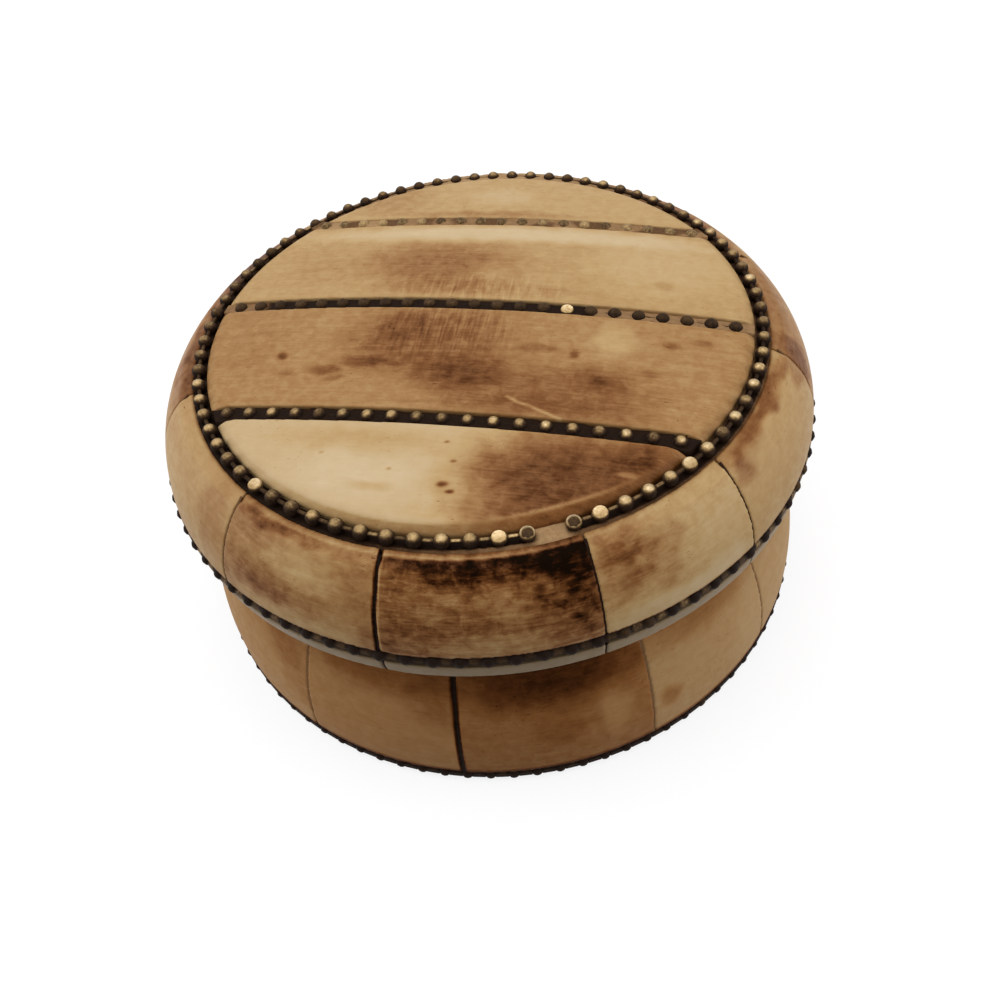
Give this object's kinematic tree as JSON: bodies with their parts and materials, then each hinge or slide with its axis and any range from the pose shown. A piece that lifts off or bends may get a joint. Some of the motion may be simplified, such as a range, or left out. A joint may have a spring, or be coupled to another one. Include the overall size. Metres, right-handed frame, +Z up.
{
  "type": "trinket box",
  "caption": "Round lidded trinket box, turned wood clad in stained bone tiles and planks, with inlaid brass ball chain; the lid lifts off a centring rim.",
  "frame": {"origin": "centre of the flat underside, on the table", "axes": "+Z up along the box's axis, +X along the planks of the top, -Y to the front"},
  "size_m": [0.0834, 0.0834, 0.0407],
  "materials": {
    "bone": "tea-stained bone, hand sanded to a satin",
    "core_wood": "turned hardwood, oiled",
    "dark_filler": "dark setting compound, dull",
    "brass_chain": "antiqued brass, worn bright on top"
  },
  "bodies": {
    "base": {"base_core": "core_wood", "base_tile_01": "bone", "base_tile_02": "bone", "base_tile_03": "bone", "base_tile_04": "bone", "base_tile_05": "bone", "base_tile_06": "bone", "base_tile_07": "bone", "base_tile_08": "bone", "base_tile_09": "bone", "base_tile_10": "bone", "base_tile_11": "bone", "base_tile_12": "bone", "base_joint_filler": "dark_filler", "foot_chain": "brass_chain"},
    "lid": {"lid_core": "core_wood", "lid_tile_01": "bone", "lid_tile_02": "bone", "lid_tile_03": "bone", "lid_tile_04": "bone", "lid_tile_05": "bone", "lid_tile_06": "bone", "lid_tile_07": "bone", "lid_tile_08": "bone", "lid_tile_09": "bone", "lid_tile_10": "bone", "lid_tile_11": "bone", "lid_tile_12": "bone", "plank_near": "bone", "plank_front": "bone", "plank_back": "bone", "plank_far": "bone", "lid_joint_filler": "dark_filler", "plank_bed_near": "dark_filler", "plank_bed_middle": "dark_filler", "plank_bed_far": "dark_filler", "top_ring_bed": "dark_filler", "plank_chain_near": "brass_chain", "plank_chain_middle": "brass_chain", "plank_chain_far": "brass_chain", "top_ring_chain": "brass_chain", "rim_chain": "brass_chain"}
  },
  "joints": [
    {"name": "lid_lift", "type": "slide", "parent": "base", "child": "lid", "axis": [0, 0, 1], "range_m": [0, 0.06]}
  ]
}
